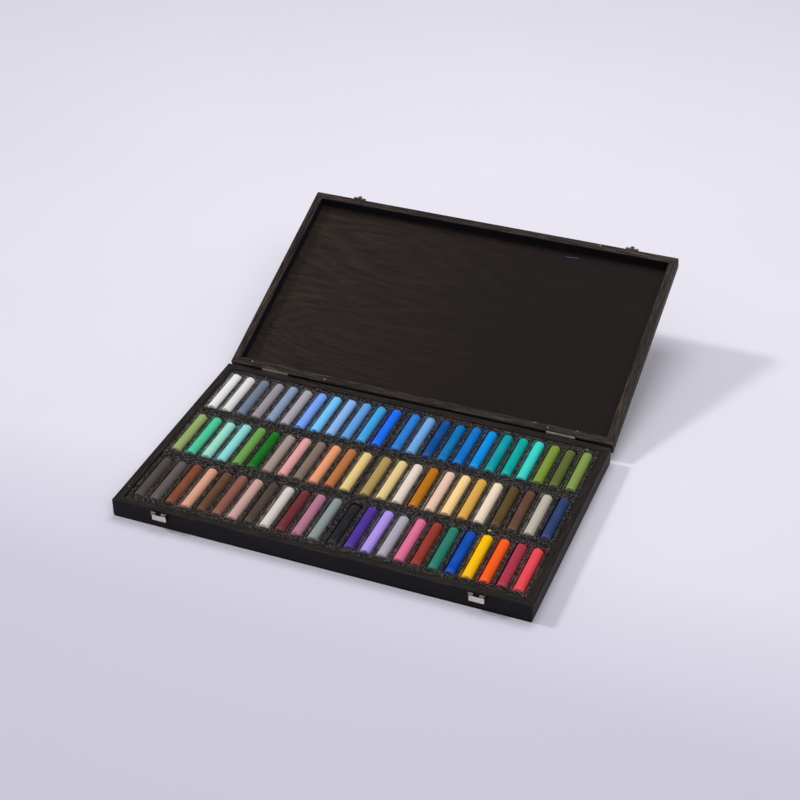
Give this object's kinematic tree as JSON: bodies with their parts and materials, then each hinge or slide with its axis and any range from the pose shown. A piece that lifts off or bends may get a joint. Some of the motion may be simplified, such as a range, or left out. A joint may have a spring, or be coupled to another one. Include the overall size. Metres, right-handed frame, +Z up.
{
  "type": "pastel case",
  "caption": "Flat wooden case with a hinged lid, flip-up latches and slotted foam blocks that hold rows of loose pastel sticks.",
  "frame": {"origin": "middle of the underside of the base, on the surface it rests on", "axes": "+X to the right as seen from the latches, +Y from the latches to the hinges, +Z up; the lid rests open 160 degrees behind the base"},
  "size_m": [0.465, 0.5537, 0.1172],
  "materials": {
    "stained_wood": "black stain, satin, fine grain",
    "plywood": "dark stained plywood, matte",
    "foam": "coarse speckled charcoal foam",
    "hinge_steel": "satin nickel plate",
    "latch_nickel": "bright nickel plate",
    "pastels_left_back": "dry chalky pastel, each stick its own colour",
    "pastels_right_back": "dry chalky pastel, each stick its own colour",
    "pastels_left_middle": "dry chalky pastel, each stick its own colour",
    "pastels_right_middle": "dry chalky pastel, each stick its own colour",
    "pastels_left_front": "dry chalky pastel, each stick its own colour",
    "pastels_right_front": "dry chalky pastel, each stick its own colour"
  },
  "bodies": {
    "base": {"base_back_rail": "stained_wood", "base_front_rail": "stained_wood", "base_left_rail": "stained_wood", "base_panel": "plywood", "base_right_rail": "stained_wood", "foam_block_left_back": "foam", "foam_block_left_front": "foam", "foam_block_left_middle": "foam", "foam_block_right_back": "foam", "foam_block_right_front": "foam", "foam_block_right_middle": "foam", "hinge_base_leaf_left": "hinge_steel", "hinge_base_leaf_right": "hinge_steel", "hinge_base_screws": "hinge_steel", "hinge_pin_left": "hinge_steel", "hinge_pin_right": "hinge_steel", "latch_plate_left": "latch_nickel", "latch_plate_right": "latch_nickel", "latch_plate_screws": "latch_nickel", "latch_rivets_left": "latch_nickel", "latch_rivets_right": "latch_nickel", "pastels_left_back": "pastels_left_back", "pastels_left_front": "pastels_left_front", "pastels_left_middle": "pastels_left_middle", "pastels_right_back": "pastels_right_back", "pastels_right_front": "pastels_right_front", "pastels_right_middle": "pastels_right_middle"},
    "lid": {"hinge_lid_leaf_left": "hinge_steel", "hinge_lid_leaf_right": "hinge_steel", "hinge_lid_screws": "hinge_steel", "latch_strike_left": "latch_nickel", "latch_strike_right": "latch_nickel", "latch_strike_screws": "latch_nickel", "lid_back_rail": "stained_wood", "lid_front_rail": "stained_wood", "lid_left_rail": "stained_wood", "lid_panel": "plywood", "lid_right_rail": "stained_wood"},
    "left_lever": {"latch_lever_left": "latch_nickel"},
    "right_lever": {"latch_lever_right": "latch_nickel"}
  },
  "joints": [
    {"name": "lid_hinge", "type": "hinge", "parent": "base", "child": "lid", "pos_m": [0, 0.1414, 0.0203], "axis": [1, 0, 0], "range_deg": [0, 160]},
    {"name": "left_latch_pivot", "type": "hinge", "parent": "base", "child": "left_lever", "pos_m": [-0.1755, -0.1419, 0.01955], "axis": [-1, 0, 0], "range_deg": [0, 180]},
    {"name": "right_latch_pivot", "type": "hinge", "parent": "base", "child": "right_lever", "pos_m": [0.1755, -0.1419, 0.01955], "axis": [-1, 0, 0], "range_deg": [0, 180]}
  ]
}
